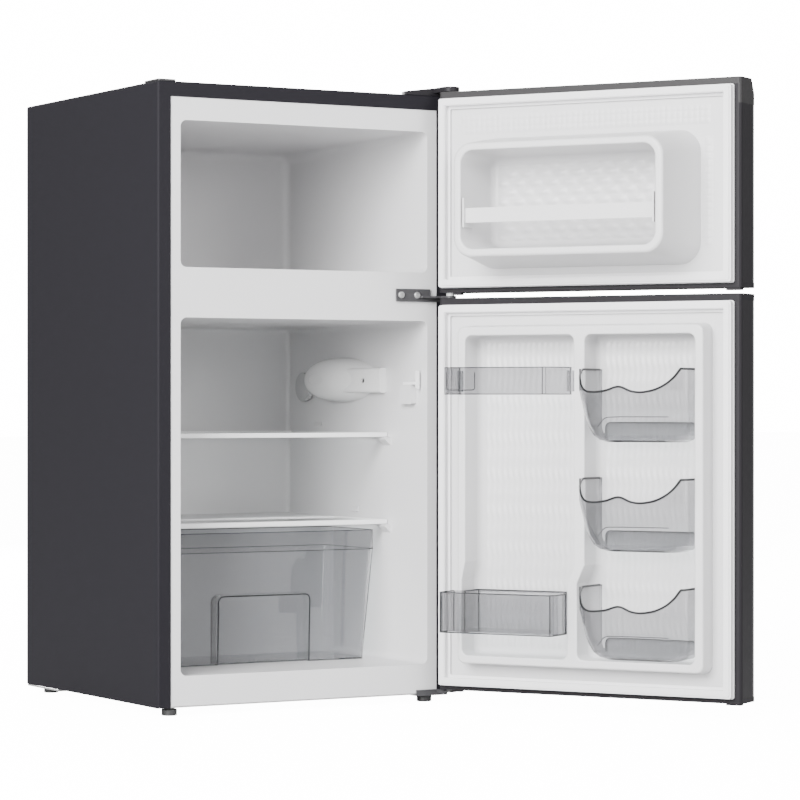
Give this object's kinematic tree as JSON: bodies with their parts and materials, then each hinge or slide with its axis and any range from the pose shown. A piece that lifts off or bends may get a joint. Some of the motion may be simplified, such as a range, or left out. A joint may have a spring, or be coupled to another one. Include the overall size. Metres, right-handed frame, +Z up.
{
  "type": "two-door compact refrigerator",
  "caption": "Compact top-freezer refrigerator with both doors open, glass shelves, a clear crisper drawer and clear door racks.",
  "frame": {"origin": "on the floor under the middle of the cabinet's footprint", "axes": "+X to the right seen from the front, +Y to the back of the cabinet, +Z up"},
  "size_m": [0.6842, 0.8363, 0.8414],
  "materials": {
    "shell_paint": "satin, near black",
    "back_paint": "satin, near black",
    "plated_steel": "zinc plated",
    "dark_steel": "satin",
    "liner_white": "soft gloss",
    "trim_white": "gloss",
    "foam": "matt",
    "door_steel": "fine brushed",
    "cap_grey": "fine grain",
    "cap_black": "fine grain",
    "frame_black": "satin",
    "gasket": "soft matt",
    "clear_plastic": "clear, glossy",
    "shelf_glass": "clear, polished",
    "lamp_clear": "milky, glossy",
    "bulb_glass": "clear",
    "black_plastic": "fine grain",
    "compressor_black": "gloss",
    "rubber": "matt",
    "copper": "bright",
    "nylon": "waxy",
    "aluminium_tube": "mill"
  },
  "bodies": {
    "cabinet": {"outer_shell": "shell_paint", "cabinet_liner": "liner_white", "cabinet_foam": "foam", "back_panel": "back_paint", "bottom_panel": "plated_steel", "rear_feet": "black_plastic", "compressor_base": "plated_steel", "compressor": "compressor_black", "compressor_grommets": "rubber", "compressor_bolts": "plated_steel", "relay_box": "black_plastic", "filter_dryer": "copper", "refrigerant_tubes": "copper", "drain_pan": "black_plastic", "drain_tube": "nylon", "cord_gland": "black_plastic", "wall_spacers": "black_plastic", "condenser_coil": "plated_steel", "evaporator_coil": "aluminium_tube", "top_hinge": "plated_steel", "top_hinge_cover": "black_plastic", "top_corner_cover": "black_plastic", "middle_hinge": "dark_steel", "bottom_hinge": "dark_steel", "hinge_screws": "plated_steel", "hinge_washers": "nylon", "lamp_housing": "lamp_clear", "lamp_bulb": "bulb_glass", "switch_housing": "trim_white"},
    "freezer_door": {"freezer_door_frame": "frame_black", "freezer_door_panel": "door_steel", "freezer_door_foam": "foam", "freezer_door_liner": "liner_white", "freezer_door_gasket": "gasket", "freezer_door_bushings": "nylon", "freezer_door_bottom_cap": "cap_black", "freezer_door_top_cap": "cap_grey"},
    "fridge_door": {"fridge_door_frame": "frame_black", "fridge_door_panel": "door_steel", "fridge_door_foam": "foam", "fridge_door_liner": "liner_white", "fridge_door_gasket": "gasket", "fridge_door_bushings": "nylon", "fridge_door_bottom_cap": "cap_black", "fridge_door_top_cap": "cap_black"},
    "freezer_retainer": {"freezer_retainer": "trim_white"},
    "door_upper_guard": {"door_upper_guard": "clear_plastic"},
    "door_lower_bin": {"door_lower_bin": "clear_plastic"},
    "can_rack_top": {"can_rack_top": "clear_plastic"},
    "can_rack_middle": {"can_rack_middle": "clear_plastic"},
    "can_rack_bottom": {"can_rack_bottom": "clear_plastic"},
    "upper_shelf": {"upper_shelf_glass": "shelf_glass", "upper_shelf_trim": "trim_white"},
    "lower_shelf": {"lower_shelf_glass": "shelf_glass", "lower_shelf_trim": "trim_white"},
    "crisper": {"crisper_drawer": "clear_plastic"},
    "thermostat_knob": {"thermostat_knob": "trim_white"},
    "switch_plunger": {"switch_plunger": "trim_white"},
    "front_left_foot": {"front_left_foot": "black_plastic"},
    "front_right_foot": {"front_right_foot": "black_plastic"}
  },
  "joints": [
    {"name": "freezer_door_hinge", "type": "hinge", "parent": "cabinet", "child": "freezer_door", "pos_m": [0.21, -0.237, 0.69], "axis": [0, 0, 1], "range_deg": [-121.2, 3.8]},
    {"name": "fridge_door_hinge", "type": "hinge", "parent": "cabinet", "child": "fridge_door", "pos_m": [0.21, -0.237, 0.28], "axis": [0, 0, 1], "range_deg": [-121.2, 3.8]},
    {"name": "freezer_retainer_lift", "type": "slide", "parent": "freezer_door", "child": "freezer_retainer", "axis": [0, 0, 1], "range_m": [0, 0.02]},
    {"name": "upper_guard_lift", "type": "slide", "parent": "fridge_door", "child": "door_upper_guard", "axis": [0, 0, 1], "range_m": [0, 0.025]},
    {"name": "lower_bin_lift", "type": "slide", "parent": "fridge_door", "child": "door_lower_bin", "axis": [0, 0, 1], "range_m": [0, 0.025]},
    {"name": "can_rack_top_lift", "type": "slide", "parent": "fridge_door", "child": "can_rack_top", "axis": [0, 0, 1], "range_m": [0, 0.025]},
    {"name": "can_rack_middle_lift", "type": "slide", "parent": "fridge_door", "child": "can_rack_middle", "axis": [0, 0, 1], "range_m": [0, 0.025]},
    {"name": "can_rack_bottom_lift", "type": "slide", "parent": "fridge_door", "child": "can_rack_bottom", "axis": [0, 0, 1], "range_m": [0, 0.025]},
    {"name": "upper_shelf_slide", "type": "slide", "parent": "cabinet", "child": "upper_shelf", "axis": [0, -1, 0], "range_m": [0, 0.2]},
    {"name": "lower_shelf_slide", "type": "slide", "parent": "cabinet", "child": "lower_shelf", "axis": [0, -1, 0], "range_m": [0, 0.2]},
    {"name": "crisper_slide", "type": "slide", "parent": "cabinet", "child": "crisper", "axis": [0, -1, 0], "range_m": [0, 0.14]},
    {"name": "thermostat_turn", "type": "hinge", "parent": "cabinet", "child": "thermostat_knob", "pos_m": [0.1775, 0.121, 0.433], "axis": [1, 0, 0], "range_deg": [-150, 150]},
    {"name": "door_switch", "type": "slide", "parent": "cabinet", "child": "switch_plunger", "axis": [0, -1, 0], "range_m": [-0.004, 0], "stiffness_N_per_m": 120, "springref_m": 0.0015},
    {"name": "front_left_foot_turn", "type": "hinge", "parent": "cabinet", "child": "front_left_foot", "pos_m": [-0.1975, -0.198, 0.005], "axis": [0, 0, 1], "continuous": true},
    {"name": "front_right_foot_turn", "type": "hinge", "parent": "cabinet", "child": "front_right_foot", "pos_m": [0.1911, -0.198, 0.005], "axis": [0, 0, 1], "continuous": true}
  ]
}
